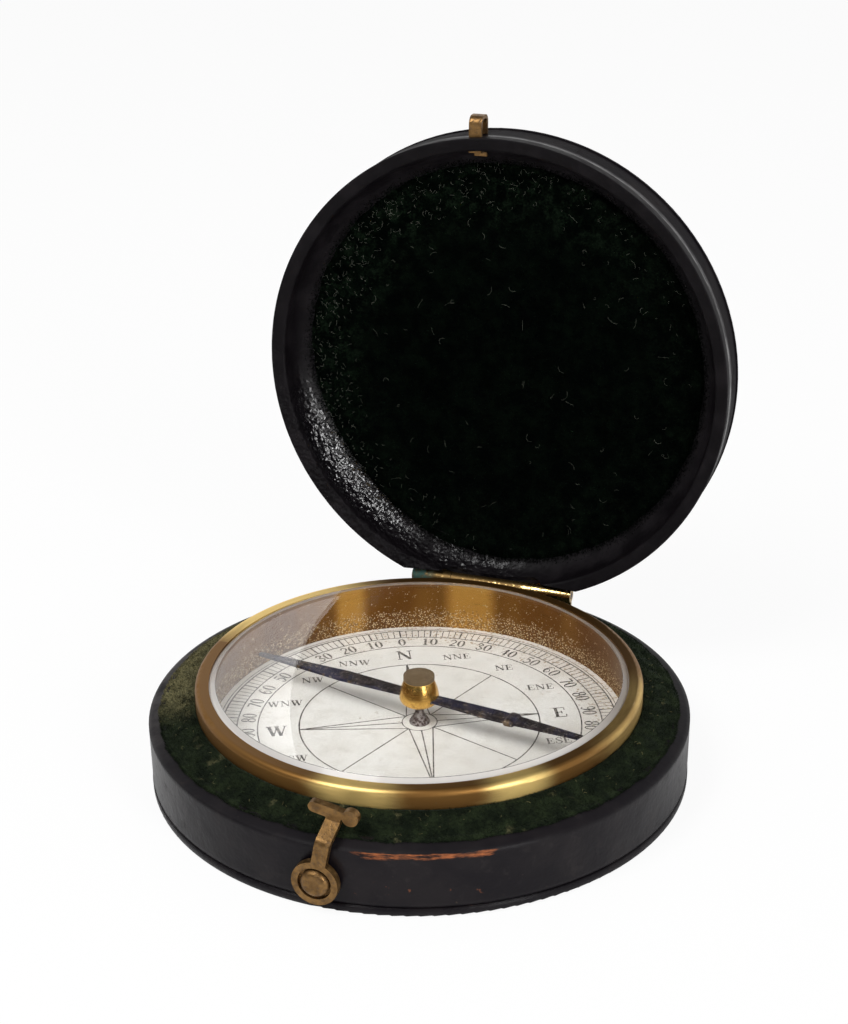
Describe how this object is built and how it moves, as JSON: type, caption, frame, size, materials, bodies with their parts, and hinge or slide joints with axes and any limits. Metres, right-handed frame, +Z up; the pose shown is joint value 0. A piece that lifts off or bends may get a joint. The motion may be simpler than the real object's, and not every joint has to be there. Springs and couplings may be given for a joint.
{
  "type": "pocket compass",
  "caption": "Round leather-covered pocket compass with a hinged velvet-lined lid, a glazed brass drum, a printed dial, a pivoting needle and a hook latch.",
  "frame": {"origin": "centre of the flat underside of the case", "axes": "+Z up out of the dial, +Y towards the lid's hinge, +X to the right seen from the latch"},
  "size_m": [0.0581, 0.0618, 0.0641],
  "materials": {
    "wood": "bare turned wood, hidden",
    "case_leather": "black grained leather, semi-gloss, worn to red-brown on the front edge",
    "cove_leather": "glossy crinkled black leather",
    "velvet": "dark green cotton velvet, rubbed",
    "felt": "thin felt",
    "brass": "aged lacquered brass, satin",
    "glass": "clear bevelled glass",
    "paper": "printed card, lightly foxed",
    "steel": "dull steel",
    "blued_steel": "blued steel",
    "agate": "polished agate"
  },
  "bodies": {
    "base": {"base_core": "wood", "base_leather_band": "case_leather", "base_leather_bottom": "case_leather", "base_velvet_collar": "velvet", "base_felt_pad": "felt", "compass_drum": "brass", "dial_plate": "brass", "dial_card": "paper", "pivot_post": "steel", "glass": "glass", "bezel": "brass", "hinge_base_leaf": "brass", "hinge_pin": "steel", "hinge_base_rivets": "brass", "latch_stud": "brass"},
    "lid": {"lid_core": "wood", "lid_leather_band": "case_leather", "lid_leather_top": "case_leather", "lid_cove_leather": "cove_leather", "lid_velvet_lining": "velvet", "hinge_lid_leaf": "brass", "hinge_lid_rivets": "brass", "lid_staple": "brass"},
    "needle": {"needle_blade": "blued_steel", "needle_cap": "brass", "cap_jewel": "agate", "needle_rider": "steel"},
    "hook": {"latch_hook": "brass"}
  },
  "joints": [
    {"name": "lid_hinge", "type": "hinge", "parent": "base", "child": "lid", "pos_m": [0, 0.0257, 0.00967], "axis": [1, 0, 0], "range_deg": [0, 91]},
    {"name": "hook_swing", "type": "hinge", "parent": "base", "child": "hook", "pos_m": [0, -0.029, 0.0036], "axis": [0, 1, 0], "range_deg": [-16, 12]},
    {"name": "needle_spin", "type": "hinge", "parent": "base", "child": "needle", "pos_m": [0, 0, 0], "axis": [0, 0, 1], "continuous": true}
  ]
}
